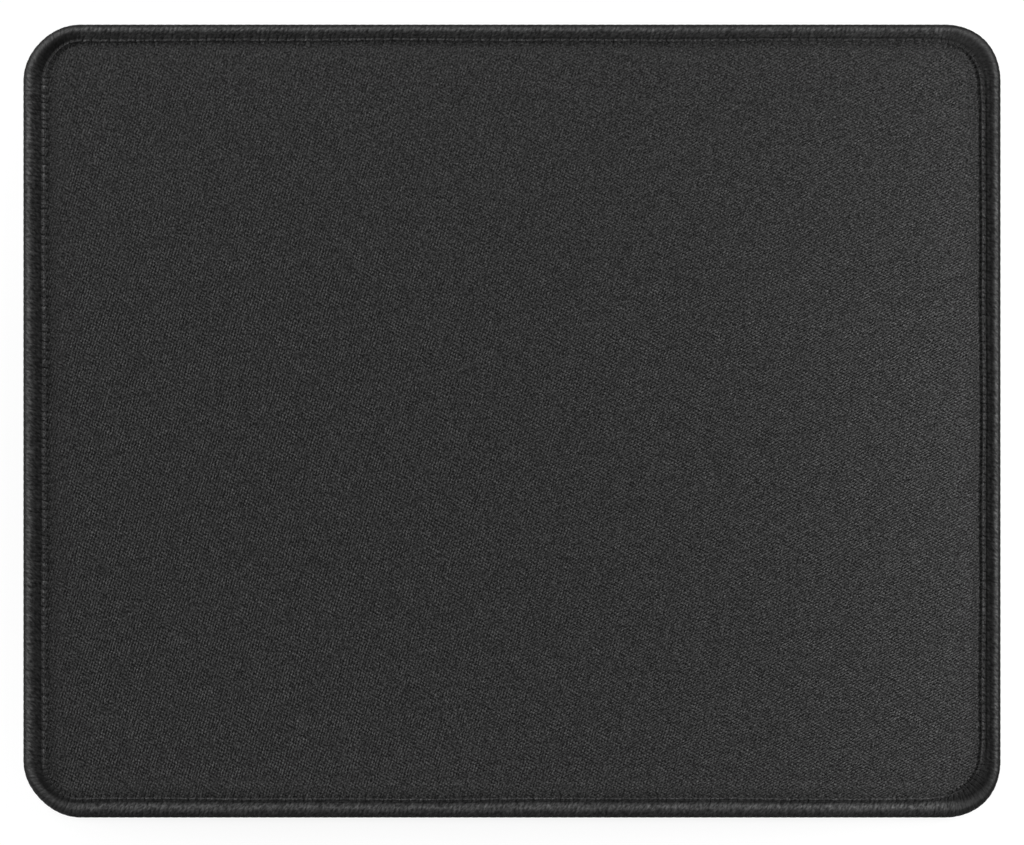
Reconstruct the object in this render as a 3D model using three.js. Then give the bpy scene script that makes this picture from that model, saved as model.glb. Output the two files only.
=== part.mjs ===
// A cloth-topped mouse pad with an overlocked rim: a foamed rubber base, a bonding film and a knitted
// cloth laid on each other, with the rim drawn in and wrapped by the three threads of an overlock seam.
// Millimetres, +Z up. The origin is on the desk, under the middle of the pad. +X is the long side.
import * as THREE from 'three';

// The outline, measured over the threads.
const padLength = 260;
const padWidth = 211;
const cornerRadius = 15;

// The three layers, from the desk up.
const rubberThickness = 2.4;
const filmThickness = 0.1;
const clothThickness = 0.5;

// The overlock seam, from the outer edge of the threads inwards.
const beadWidth = 2.0; // from the outer edge to the crest of the padded bead
const grooveWidth = 1.5; // from that crest to the bottom of the groove
const seamWidth = 1.1; // from the bottom of the groove to the needle line
const needleWidth = 0.5; // the straight stitch line, side to side
const drawWidth = 3.5; // the cloth and the rubber slope back to full thickness over this width
const threadThickness = 0.4; // how far the looper threads stand off the layers that they wrap
const needleRise = 0.3; // how far the threads stand up from the cloth at the needle line
const cutClearance = 0.3; // between the cut edge of the layers and the threads round it

// How far the bead swells above the cloth's face, how far the threads pull the rest of the rim down from
// that face, and how far they are from the desk.
const beadRise = 0.15; // crest of the bead
const grooveDrop = 0.8; // bottom of the groove
const seamDrop = 0.4; // cloth at the needle line
const deskClearance = 0.05; // underside of the threads

// How finely the curves are cut.
const cornerDivisions = 4; // an arc is cut into twice as many steps
const wrapSteps = 4;
const grooveSteps = 3;
const drawSteps = 3;

const padThickness = rubberThickness + filmThickness + clothThickness;
const grooveInset = beadWidth + grooveWidth;
const seamInset = grooveInset + seamWidth;
const needleEnd = seamInset + needleWidth;
const drawEnd = needleEnd + drawWidth;

// The section of the rim is written as points of { inset, height }.
const point = (inset, height) => ({ inset, height });
const ease = (from, to, share) => from + ((to - from) * (1 - Math.cos(Math.PI * share))) / 2;
const mix = (from, to, share) => from + (to - from) * share;

// A stretch that eases from one height to another. It leaves out its first point.
function easedStretch(from, to, steps) {
  return Array.from({ length: steps }, (_, index) => {
    const share = (index + 1) / steps;
    return point(mix(from.inset, to.inset, share), ease(from.height, to.height, share));
  });
}

// The levels of the rim: the bead, the groove and the needle line on top, and the flat underside.
const beadTop = padThickness + beadRise;
const beadMiddle = padThickness / 2;
const grooveTop = padThickness - grooveDrop;
const seamFoot = padThickness - seamDrop;
const seamTop = seamFoot + needleRise;
const rimBottom = deskClearance + threadThickness;

// The angles at which both faces of the threads are cut. One of them is where the layers' cut edge
// meets the inside of the threads, so that the layers and the threads share their points there.
const cutReachShare = (beadWidth - threadThickness - cutClearance) / (beadWidth - threadThickness);
const cutAngle = Math.acos(cutReachShare);
const anglesOutsideCut = [0, cutAngle / 2];
const anglesInsideCut = Array.from({ length: wrapSteps }, (_, index) =>
  mix(cutAngle, Math.PI / 2, index / (wrapSteps - 1)),
);
const wrapAngles = [...anglesOutsideCut, ...anglesInsideCut];

// A quarter of an ellipse, from the side of the bead round to its crest or to its underside.
function quarterRound(sideInset, crestHeight) {
  return wrapAngles.map((angle) =>
    point(
      beadWidth - (beadWidth - sideInset) * Math.cos(angle),
      beadMiddle + (crestHeight - beadMiddle) * Math.sin(angle),
    ),
  );
}

// A face of the upper threads, from the side of the bead to the needle line. Depth is how far inside
// the outer face it lies.
function upperFace(depth, seamHeight) {
  const crest = point(beadWidth, beadTop - depth);
  const groove = point(grooveInset, grooveTop - depth);
  const seam = point(seamInset, seamHeight);
  return [
    ...quarterRound(depth, crest.height),
    ...easedStretch(crest, groove, grooveSteps),
    ...easedStretch(groove, seam, grooveSteps),
  ];
}

// A face of the lower threads, from the side of the bead to the needle line. It is flat underneath.
const lowerFace = (depth, height) => [...quarterRound(depth, height), point(seamInset, height)];

const upperOuter = upperFace(0, seamTop);
const upperInner = upperFace(threadThickness, seamFoot);
const lowerOuter = lowerFace(0, deskClearance);
const lowerInner = lowerFace(threadThickness, rimBottom);

// The top of the cloth and the underside of the rubber, from the cut edge in to the flat middle. Under
// the threads they are the threads' own inner faces.
const needleFoot = point(needleEnd, seamFoot);
const clothTop = [
  ...upperInner.slice(anglesOutsideCut.length),
  needleFoot,
  ...easedStretch(needleFoot, point(drawEnd, padThickness), drawSteps),
];
const rubberBottom = [
  ...lowerInner.slice(anglesOutsideCut.length),
  ...easedStretch(point(seamInset, rimBottom), point(drawEnd, 0), drawSteps),
];
const lowered = (profile, drop) => profile.map(({ inset, height }) => point(inset, height - drop));

// One loop round the pad at an inset, as the points of a rounded rectangle. Every loop has the same
// corner centres, so loops at different insets pair up point by point.
function rimLoop({ inset, height }) {
  const reachX = padLength / 2 - cornerRadius;
  const reachY = padWidth / 2 - cornerRadius;
  const radius = cornerRadius - inset;
  const outline = new THREE.Path();
  outline.absarc(reachX, reachY, radius, 0, Math.PI / 2);
  outline.absarc(-reachX, reachY, radius, Math.PI / 2, Math.PI);
  outline.absarc(-reachX, -reachY, radius, Math.PI, (Math.PI * 3) / 2);
  outline.absarc(reachX, -reachY, radius, (Math.PI * 3) / 2, Math.PI * 2);
  outline.closePath();
  const corners = outline.getPoints(cornerDivisions);
  return corners.slice(0, -1).map(({ x, y }) => new THREE.Vector3(x, y, height));
}

// A closed skin through loops, each joined to the next. Where it isn't a ring, both ends are closed
// with a fan to the middle of the pad.
function loftLoops(loops, isRing) {
  const around = loops[0].length;
  const vertices = loops.flat();
  const triangles = [];
  const joins = isRing ? loops.length : loops.length - 1;
  for (let row = 0; row < joins; row += 1) {
    const next = (row + 1) % loops.length;
    for (let step = 0; step < around; step += 1) {
      const beside = (step + 1) % around;
      const [a, b] = [row * around + step, row * around + beside];
      const [c, d] = [next * around + step, next * around + beside];
      triangles.push(a, b, d, a, d, c);
    }
  }
  if (!isRing) {
    const closeEnd = (row, facesUp) => {
      const middle = vertices.length;
      vertices.push(new THREE.Vector3(0, 0, loops[row][0].z));
      for (let step = 0; step < around; step += 1) {
        const [a, b] = [row * around + step, row * around + ((step + 1) % around)];
        triangles.push(middle, ...(facesUp ? [a, b] : [b, a]));
      }
    };
    closeEnd(0, false);
    closeEnd(loops.length - 1, true);
  }
  const geometry = new THREE.BufferGeometry().setFromPoints(vertices);
  geometry.setIndex(triangles);
  geometry.computeVertexNormals();
  return geometry;
}

// A layer that fills the pad. Its section runs out along the underside and back in along the top.
function layerGeometry(bottomProfile, topProfile) {
  const section = [...bottomProfile.toReversed(), ...topProfile];
  return loftLoops(section.map(rimLoop), false);
}

// A ring of thread round the pad. Its section runs out along the underside and back in along the top.
function ringGeometry(section) {
  return loftLoops(section.map(rimLoop), true);
}

function piece(name, geometry, finish) {
  const mesh = new THREE.Mesh(geometry, new THREE.MeshStandardMaterial(finish));
  mesh.name = name;
  return mesh;
}

const rubberFinish = { color: 0x1c1c1c, roughness: 0.85, metalness: 0 };
const filmFinish = { color: 0x8c8c88, roughness: 0.5, metalness: 0 };
const clothFinish = { color: 0x363636, roughness: 0.95, metalness: 0 };
const threadFinish = { color: 0x3e3e3e, roughness: 0.8, metalness: 0 };

function rubberBase() {
  const top = lowered(clothTop, clothThickness + filmThickness);
  return piece('rubber_base', layerGeometry(rubberBottom, top), rubberFinish);
}

function bondingFilm() {
  const top = lowered(clothTop, clothThickness);
  const bottom = lowered(top, filmThickness);
  return piece('bonding_film', layerGeometry(bottom, top), filmFinish);
}

function topCloth() {
  const bottom = lowered(clothTop, clothThickness);
  return piece('top_cloth', layerGeometry(bottom, clothTop), clothFinish);
}

// The upper threads lie over the cloth, from the needle line out over the bead.
function upperLooperThread() {
  const section = [...upperInner.toReversed(), ...upperOuter];
  return piece('upper_looper_thread', ringGeometry(section), threadFinish);
}

// The lower threads lie under the rubber. They meet the upper ones face to face at the side of the
// bead, where the two lock into each other.
function lowerLooperThread() {
  const section = [...lowerOuter.toReversed(), ...lowerInner];
  return piece('lower_looper_thread', ringGeometry(section), threadFinish);
}

// The straight stitch line lies on the cloth, against the inner ends of the upper threads.
function needleThread() {
  const shoulder = mix(seamFoot, seamTop, 1 / 2);
  const section = [
    point(needleEnd, seamFoot),
    point(seamInset, seamFoot),
    point(seamInset, shoulder),
    point(mix(seamInset, needleEnd, 1 / 3), seamTop),
    point(mix(seamInset, needleEnd, 2 / 3), seamTop),
    point(needleEnd, shoulder),
  ];
  return piece('needle_thread', ringGeometry(section), threadFinish);
}

const mousePad = new THREE.Group();
mousePad.add(
  rubberBase(),
  bondingFilm(),
  topCloth(),
  upperLooperThread(),
  lowerLooperThread(),
  needleThread(),
);

export default mousePad;
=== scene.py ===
# %% [markdown]
# A cloth-topped desk mat with a sewn rim, seen from straight above.
#
# The real mat is a thin sandwich. A knitted cloth is glued to a slab of foamed rubber, the sandwich is cut to
# shape, and an overlock machine then runs round its edge and wraps it in thread. This script dresses a packed
# model of that mat, in metres, with +Z up and the desk at height zero. Each layer and each of the three
# threads is a piece of its own, because that is how the mat would come apart on a bench.

# %% Load the frame
import math

import bmesh
import bpy
import numpy as np
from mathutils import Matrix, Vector, noise


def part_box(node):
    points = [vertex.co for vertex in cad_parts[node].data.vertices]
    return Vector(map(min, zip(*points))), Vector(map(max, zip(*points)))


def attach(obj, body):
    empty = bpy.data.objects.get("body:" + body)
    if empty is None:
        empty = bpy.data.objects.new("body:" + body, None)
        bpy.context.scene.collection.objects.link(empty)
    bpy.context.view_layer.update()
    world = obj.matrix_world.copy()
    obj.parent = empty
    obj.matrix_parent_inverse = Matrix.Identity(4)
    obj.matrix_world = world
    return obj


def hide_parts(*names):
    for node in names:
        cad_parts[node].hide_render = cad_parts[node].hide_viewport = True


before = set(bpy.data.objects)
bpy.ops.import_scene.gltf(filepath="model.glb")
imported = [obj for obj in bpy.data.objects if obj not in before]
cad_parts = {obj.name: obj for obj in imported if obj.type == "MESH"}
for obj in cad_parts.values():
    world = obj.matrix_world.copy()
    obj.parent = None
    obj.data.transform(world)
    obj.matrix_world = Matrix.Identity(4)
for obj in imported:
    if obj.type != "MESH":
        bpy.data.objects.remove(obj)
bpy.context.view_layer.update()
scene = bpy.context.scene
print("nodes in the frame:", ", ".join(sorted(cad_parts)))

# %% [markdown]
# Sizes come from the frame wherever it has them, so the dressed pieces stay where the solids are. The rest
# repeats the section of the rim. Going inwards from the edge there is a padded bead, a groove, a narrow
# ridge up to the needle line that holds the threads down, and a slope where the cloth comes back to its full
# height.

# %% Sizes of the mat and of its rim
cloth_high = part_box("top_cloth")[1]
rubber_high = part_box("rubber_base")[1]
film_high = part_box("bonding_film")[1]
upper_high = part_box("upper_looper_thread")[1]
lower_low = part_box("lower_looper_thread")[0]
needle_low, needle_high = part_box("needle_thread")

half_length = upper_high.x
half_width = upper_high.y
corner_radius = 0.015
reach_x = half_length - corner_radius
reach_y = half_width - corner_radius

cloth_face = cloth_high.z
cloth_thickness = cloth_high.z - film_high.z
film_thickness = film_high.z - rubber_high.z

bead_width = 0.002
groove_width = 0.0015
ridge_width = 0.0005
needle_width = 0.0005
draw_width = 0.0035
cut_inset = half_length - cloth_high.x
groove_inset = bead_width + groove_width
seam_inset = half_length - needle_high.x
needle_end = seam_inset + needle_width
draw_end = needle_end + draw_width
needle_inset = (seam_inset + needle_end) / 2

thread_thickness = 0.0004
groove_drop = 0.0008
bead_middle_share = 0.36
bead_top = upper_high.z
bead_middle = cloth_face * bead_middle_share
groove_top = cloth_face - groove_drop
seam_foot = needle_low.z
seam_top = needle_high.z
rim_bottom = lower_low.z + thread_thickness
tread_height = 0.0002

print(f"mat {2 * half_length:.3f} by {2 * half_width:.3f} m, needle line {1000 * needle_inset:.2f} mm in")

# %% [markdown]
# The rim is written once as a height for every distance from the edge, and everything that lies on it or
# under it asks for its height here. A quarter of an ellipse makes the bead, and cosine eases make the rest,
# because pulled cloth and foam have no sharp bends.


# %% The section of the rim
def mix(start, end, share):
    return start + (end - start) * share


def eased(start, end, share):
    return mix(start, end, (1 - math.cos(math.pi * min(max(share, 0), 1))) / 2)


def bead_height(inset, depth, end_height):
    """The height on a quarter of an ellipse, from the middle of the bead's side to its crest or its foot."""
    sideways = (bead_width - inset) / (bead_width - depth)
    return mix(bead_middle, end_height, math.sqrt(max(0, 1 - sideways**2)))


def top_height(inset, depth, seam_height):
    """The height of the rim at an inset, a depth below the threads' outer face."""
    crest = bead_top - depth
    groove = groove_top - depth
    if inset < bead_width:
        return bead_height(inset, depth, crest)
    if inset < groove_inset:
        return eased(crest, groove, (inset - bead_width) / (groove_inset - bead_width))
    if inset < seam_inset:
        return eased(groove, seam_height, (inset - seam_inset + ridge_width) / ridge_width)
    return eased(seam_height, cloth_face, (inset - needle_end) / (draw_end - needle_end))


def bottom_height(inset, depth, flat_height):
    """The height of the underside of the rim at an inset, a depth above the threads' outer face."""
    low = lower_low.z + depth
    if inset < bead_width:
        return bead_height(inset, depth, low)
    return eased(low, flat_height, (inset - seam_inset) / (draw_end - seam_inset))


def section(stretches, height):
    """Points of (inset, height) along stretches, each given as its two ends and its number of steps."""
    insets = [stretches[0][0]]
    for start, end, steps in stretches:
        insets += [mix(start, end, step / steps) for step in range(1, steps + 1)]
    return [(inset, height(inset)) for inset in insets]


print(f"the groove is {1000 * (bead_top - groove_top):.2f} mm lower than the crest of the bead")

# %% [markdown]
# The stitches set the rhythm of everything at the rim. One stitch of the overlock takes about 2.35 mm of
# edge, and in it each looper thread lies across the rim twice, once on the way out and once on the way
# back. The layers get a whole number of columns for each stitch, so that their puckers can follow it.

# %% The rhythm of the stitches
stitches_along = 98
stitches_across = 77
stitches_round_corner = 10
columns_per_stitch = 4
stitch_count = 2 * (stitches_along + stitches_across) + 4 * stitches_round_corner
edge_length = 4 * (reach_x + reach_y) + 2 * math.pi * corner_radius
stitch_length = edge_length / stitch_count
print(f"{stitch_count} stitches of {1000 * stitch_length:.3f} mm")


# %% [markdown]
# The pieces are modelled with Blender's own operators, as by hand. An operator acts on whatever is selected,
# so these helpers select exactly one thing before each step. Elements are picked by their place or their
# normal, because numbers of vertices change with every edit.

# %% Helpers for working by operator
tolerance = 1e-6


def use_only(*pieces):
    """Selects these pieces and nothing else. The last one is the active one."""
    bpy.ops.object.select_all(action="DESELECT")
    for piece in pieces:
        piece.select_set(True)
        bpy.context.view_layer.objects.active = piece


def edit(piece):
    use_only(piece)
    bpy.ops.object.mode_set(mode="EDIT")


def stop_editing():
    bpy.ops.object.mode_set(mode="OBJECT")


def turn_normals_out():
    """In edit mode, selects the whole piece and turns its faces outwards."""
    bpy.ops.mesh.select_all(action="SELECT")
    bpy.ops.mesh.normals_make_consistent(inside=False)


def pick(piece, kind, wanted):
    """In edit mode, selects the verts, edges or faces that are wanted, and nothing else."""
    bpy.ops.mesh.select_mode(type={"verts": "VERT", "edges": "EDGE", "faces": "FACE"}[kind])
    bpy.ops.mesh.select_all(action="DESELECT")
    mesh = bmesh.from_edit_mesh(piece.data)
    for element in getattr(mesh, kind):
        if wanted(element):
            element.select_set(True)
    bmesh.update_edit_mesh(piece.data)


def apply_modifiers(piece):
    use_only(piece)
    for modifier in list(piece.modifiers):
        bpy.ops.object.modifier_apply(modifier=modifier.name)


def name_piece(name):
    """Names the object that an operator has just made, and its mesh."""
    piece = bpy.context.active_object
    piece.name = name
    piece.data.name = name
    return piece


def measure(piece):
    corners = np.array([vertex.co for vertex in piece.data.vertices])
    size = 1000 * (corners.max(axis=0) - corners.min(axis=0))
    triangles = sum(len(face.vertices) - 2 for face in piece.data.polygons)
    print(f"{piece.name}: {size[0]:.1f} by {size[1]:.1f} by {size[2]:.2f} mm, {triangles} triangles")


# %% [markdown]
# A layer starts as a plane whose four corners are bevelled round. Its straight sides are then cut into
# columns. The subdivide operator makes at most 100 cuts at once, so a side is cut in two goes.

# %% Cutting the sides into columns
most_parts = 100


def divide_sides(piece, along, parts):
    """Cuts both straight sides along an axis into parts."""
    side = (reach_x, reach_y)[along]
    first = max(number for number in range(1, most_parts + 1) if parts % number == 0)

    def on_side(edge):
        one, other = edge.verts
        straight = abs(one.co[1 - along] - other.co[1 - along]) < tolerance
        return straight and max(abs(one.co[along]), abs(other.co[along])) < side + tolerance

    for number in (first, parts // first):
        if number > 1:
            pick(piece, "edges", on_side)
            bpy.ops.mesh.subdivide(number_cuts=number - 1)


print(f"{4 * columns_per_stitch * stitches_round_corner} columns go round the four corners of the cloth")

# %% [markdown]
# The outline is inset again and again, each time a little further in and up or down, so that the rings
# follow the section of the rim. A coarse grid fills the flat middle, bridged to the innermost ring, because
# a single face with two thousand corners would shade and unwrap badly. Extruding the whole sheet straight
# down then gives a layer its thickness.

# %% Making a layer
grid_columns = 24
grid_rows = 19
grid_margin = 0.004


def fill_middle(sheet, inset, height):
    """In edit mode, fills a sheet's innermost ring, which is selected, with a flat grid."""
    bpy.ops.mesh.delete(type="ONLY_FACE")
    bpy.ops.mesh.primitive_grid_add(x_subdivisions=grid_columns, y_subdivisions=grid_rows, size=2)
    middle = (half_length - inset - grid_margin, half_width - inset - grid_margin, 1)
    bpy.ops.transform.resize(value=middle)
    bpy.ops.transform.translate(value=(0, 0, height))

    def at_middle(edge):
        level = all(abs(vertex.co.z - height) < tolerance for vertex in edge.verts)
        return level and edge.is_boundary

    pick(sheet, "edges", at_middle)
    bpy.ops.mesh.bridge_edge_loops()


def add_sheet(name, profile, columns, faces_up=True):
    """An open sheet that follows a profile of (inset, height) points from the edge to the flat middle."""
    inset, height = profile[0]
    bpy.ops.object.select_all(action="DESELECT")
    bpy.ops.mesh.primitive_plane_add(size=2)
    sheet = name_piece(name)
    edit(sheet)
    bpy.ops.transform.resize(value=(half_length - inset, half_width - inset, 1))
    bpy.ops.transform.translate(value=(0, 0, height))
    bpy.ops.mesh.bevel(
        affect="VERTICES",
        offset=corner_radius - inset,
        segments=stitches_round_corner * columns,
    )
    bpy.ops.mesh.delete(type="ONLY_FACE")
    divide_sides(sheet, 0, stitches_along * columns)
    divide_sides(sheet, 1, stitches_across * columns)
    bpy.ops.mesh.select_all(action="SELECT")
    bpy.ops.mesh.edge_face_add()
    if bmesh.from_edit_mesh(sheet.data).faces[:][0].normal.z < 0:
        bpy.ops.mesh.flip_normals()
    for (inset, height), (next_inset, next_height) in zip(profile, profile[1:]):
        bpy.ops.mesh.inset(thickness=next_inset - inset, depth=next_height - height)
    fill_middle(sheet, *profile[-1])

    turn_normals_out()
    faces = bmesh.from_edit_mesh(sheet.data).faces
    if (max(faces, key=lambda face: face.calc_area()).normal.z > 0) != faces_up:
        bpy.ops.mesh.flip_normals()
    stop_editing()
    return sheet


def thicken_down(sheet, thickness):
    """Gives a sheet its thickness by extruding all of it straight down."""
    edit(sheet)
    bpy.ops.mesh.select_mode(type="FACE")
    bpy.ops.mesh.select_all(action="SELECT")
    bpy.ops.mesh.extrude_region_move(TRANSFORM_OT_translate={"value": (0, 0, -thickness)})
    turn_normals_out()
    stop_editing()


# %% [markdown]
# The cloth shows most. Its rings lie closest together at the needle line, because there it is pulled into a
# small pit at every stitch, and those pits, with shade painted into them, are the dark dots along the inside
# of the rim.

# %% The knitted cloth
pucker_zone = 0.0012
flat_border = 0.0005


def cloth_height(inset):
    return top_height(inset, thread_thickness, seam_foot)


cloth_profile = section(
    [
        (cut_inset, bead_width, 4),
        (bead_width, groove_inset, 3),
        (groove_inset, seam_inset - ridge_width, 1),
        (seam_inset - ridge_width, seam_inset, 2),
        (seam_inset, needle_end, 2),
        (needle_end, needle_end + pucker_zone, 5),
        (needle_end + pucker_zone, draw_end, 4),
        (draw_end, draw_end + flat_border, 1),
    ],
    cloth_height,
)
knit_cloth = add_sheet("knit_cloth", cloth_profile, columns_per_stitch)
thicken_down(knit_cloth, cloth_thickness)
measure(knit_cloth)

# %% [markdown]
# The glue film and the foam lie under the cloth and never show from above, so they are cut more coarsely.
# The film follows the cloth's underside.

# %% The glue film
hidden_stretches = [
    (cut_inset, bead_width, 3),
    (bead_width, groove_inset, 3),
    (groove_inset, seam_inset, 3),
    (seam_inset, needle_end, 1),
    (needle_end, draw_end, 3),
    (draw_end, draw_end + flat_border, 1),
]
film_profile = section(hidden_stretches, lambda inset: cloth_height(inset) - cloth_thickness)
glue_film = add_sheet("glue_film", film_profile, 1)
thicken_down(glue_film, film_thickness)
measure(glue_film)

# %% [markdown]
# The foam is thick, and its underside has a form of its own. So it is made as two sheets, its top and its
# underside, which are joined into one object and closed round the cut edge by a bridge.

# %% The foam slab
foam_top_profile = section(
    hidden_stretches,
    lambda inset: cloth_height(inset) - cloth_thickness - film_thickness,
)
foam_bottom_profile = section(
    [
        (cut_inset, bead_width, 4),
        (bead_width, seam_inset, 2),
        (seam_inset, draw_end, 5),
        (draw_end, draw_end + flat_border, 1),
    ],
    lambda inset: bottom_height(inset, thread_thickness, tread_height),
)
foam_underside = add_sheet("foam_underside", foam_bottom_profile, 1, faces_up=False)
foam_base = add_sheet("foam_base", foam_top_profile, 1)
use_only(foam_underside, foam_base)
bpy.ops.object.join()
edit(foam_base)
pick(foam_base, "edges", lambda edge: edge.is_boundary)
bpy.ops.mesh.bridge_edge_loops()
turn_normals_out()
stop_editing()
measure(foam_base)

# %% [markdown]
# The underside grips the desk with a moulded tread of small nubs. One nub is a cylinder with six sides whose
# foot is drawn in. It is doubled to one side, and two Array modifiers repeat the pair, which puts the nubs
# in staggered rows.

# %% The tread's nubs
nub_sides = 6
nub_pitch = 0.0026
nub_width = 0.0017
nub_foot_share = 0.72
nub_root = 0.0001
nub_height = tread_height + nub_root
tread_reach_x = half_length - draw_end - flat_border - nub_width
tread_reach_y = half_width - draw_end - flat_border - nub_width
tread_corner = corner_radius - draw_end
row_pitch = nub_pitch * math.sqrt(3)
nubs_along = int(2 * tread_reach_x / nub_pitch) + 1
rows_across = int(2 * tread_reach_y / row_pitch) + 1
facing_down = -0.9

bpy.ops.object.select_all(action="DESELECT")
bpy.ops.mesh.primitive_cylinder_add(vertices=nub_sides, radius=nub_width / 2, depth=nub_height)
tread = name_piece("tread")
edit(tread)
pick(tread, "faces", lambda face: face.normal.z < facing_down)
bpy.ops.transform.resize(value=(nub_foot_share, nub_foot_share, 1))
bpy.ops.mesh.select_all(action="SELECT")
first_place = (-(nubs_along - 1) * nub_pitch / 2, -(rows_across - 1) * row_pitch / 2, nub_height / 2)
bpy.ops.transform.translate(value=first_place)
bpy.ops.mesh.duplicate_move(
    TRANSFORM_OT_translate={"value": (nub_pitch / 2, row_pitch / 2, 0)}
)
stop_editing()
for axis, (count, pitch) in enumerate([(nubs_along, nub_pitch), (rows_across, row_pitch)]):
    rows = tread.modifiers.new("rows", "ARRAY")
    rows.use_relative_offset = False
    rows.use_constant_offset = True
    rows.constant_offset_displace = [pitch if axis == way else 0 for way in range(3)]
    rows.count = count
apply_modifiers(tread)
measure(tread)

# %% [markdown]
# The rows fill a rectangle, but the flat part of the underside has round corners. The nubs that stand
# outside it are deleted, and the rest become part of the foam.

# %% Trimming the tread
nub_corners = 2 * nub_sides


def outside_tread(x, y):
    beyond_x = max(abs(x) - tread_reach_x + tread_corner, 0)
    beyond_y = max(abs(y) - tread_reach_y + tread_corner, 0)
    return math.hypot(beyond_x, beyond_y) > tread_corner


places = np.array([vertex.co[:2] for vertex in tread.data.vertices]).reshape(-1, nub_corners, 2)
stray = [outside_tread(*place) for place in places.mean(axis=1)]
edit(tread)
pick(tread, "verts", lambda vertex: stray[vertex.index // nub_corners])
bpy.ops.mesh.delete(type="VERT")
stop_editing()
print(len(stray) - sum(stray), "nubs in the tread")
use_only(tread, foam_base)
bpy.ops.object.join()
measure(foam_base)

# %% [markdown]
# The sewing machine walks once round the edge. Its walk is drawn from a single vertex, extruded along the
# straight sides and spun round the corners, starting in the middle of the front side. As a curve, this line
# bends a straight row of stitches round the mat.

# %% The walk round the edge
corner_steps = 24
side_steps = 100


def extrude_along(distance_x, distance_y):
    step = (distance_x / side_steps, distance_y / side_steps, 0)
    for _ in range(side_steps):
        bpy.ops.mesh.extrude_vertices_move(TRANSFORM_OT_translate={"value": step})


def spin_corner(centre_x, centre_y):
    # The spin turns clockwise for a positive angle.
    bpy.ops.mesh.spin(
        steps=corner_steps,
        angle=-math.pi / 2,
        center=(centre_x, centre_y, 0),
        axis=(0, 0, 1),
    )


bpy.ops.object.select_all(action="DESELECT")
bpy.ops.mesh.primitive_plane_add(size=corner_radius)
seam_walk = name_piece("seam_walk")
edit(seam_walk)
bpy.ops.mesh.select_mode(type="VERT")
bpy.ops.mesh.merge(type="CENTER")
bpy.ops.mesh.select_all(action="SELECT")
bpy.ops.transform.translate(value=(0, -half_width, 0))
extrude_along(reach_x, 0)
spin_corner(reach_x, -reach_y)
extrude_along(0, 2 * reach_y)
spin_corner(reach_x, reach_y)
extrude_along(-2 * reach_x, 0)
spin_corner(-reach_x, reach_y)
extrude_along(0, -2 * reach_y)
spin_corner(-reach_x, -reach_y)
extrude_along(reach_x, 0)
stop_editing()
use_only(seam_walk)
bpy.ops.object.convert(target="CURVE")
seam_walk = bpy.context.active_object
seam_walk.data.twist_mode = "Z_UP"
walk_points = [point.co.xyz for point in seam_walk.data.splines[0].points]
walk_length = sum((end - start).length for start, end in zip(walk_points, walk_points[1:]))
print(f"the walk is {1000 * walk_length:.1f} mm long and starts at {tuple(walk_points[0])}")

# %% [markdown]
# One stitch of each thread is drawn as a path and swept with a round section. A bulked thread doesn't stay
# round: under tension it spreads along the seam until it touches its neighbours. So the path is drawn
# squeezed along the seam, and the swept tube is then stretched back, which leaves it flat and wide where it
# crosses the rim and round where it runs along it.

# %% Drawing one stitch
yarn_sides = 6


def add_stitch(name, points, radius, stretch):
    """Sweeps one stitch along points of (share of a stitch, inset, height), stretched along the seam."""
    line = bpy.data.curves.new(name, "CURVE")
    line.dimensions = "3D"
    line.bevel_depth = radius
    line.bevel_resolution = (yarn_sides - 4) // 2
    spline = line.splines.new("POLY")
    spline.points.add(len(points) - 1)
    for point, (share, inset, height) in zip(spline.points, points):
        point.co = (share * stitch_length / stretch, inset, height, 1)
    stitch = bpy.data.objects.new(name, line)
    scene.collection.objects.link(stitch)
    use_only(stitch)
    bpy.ops.object.convert(target="MESH")
    stitch = name_piece(name)
    edit(stitch)
    bpy.ops.mesh.select_all(action="SELECT")
    bpy.ops.transform.resize(value=(stretch, 1, 1), center_override=(0, 0, 0))
    stop_editing()
    return stitch


# %% [markdown]
# After that an Array repeats the stitch, and a Curve modifier bends the row round the walk. In between, the
# thread is made a little uneven, by noise that moves it along and across the seam. Its place in the straight
# row is kept as an attribute, because the finish will need it.

# %% Sewing a thread round the mat
sway_along = 0.00016
sway_across = 0.00003
slow_rate = (310, 260)
quick_rate = (1250, 700)
quick_share = 0.6
quick_seed = 7
row_merge = 1e-6
seam_merge = 2e-5


def sway(place, seed):
    """How far an uneven thread strays from its place. Round the edge the foam holds it out evenly."""
    slow = Vector((place.x * slow_rate[0], place.y * slow_rate[1], seed))
    quick = Vector((place.x * quick_rate[0], place.y * quick_rate[1], seed + quick_seed))
    wander = noise.noise_vector(slow) + noise.noise_vector(quick) * quick_share
    held = min(max(place.y / bead_width, 0), 1)
    return Vector((wander.x * sway_along, wander.y * sway_across * held, wander.z * sway_across))


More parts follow.
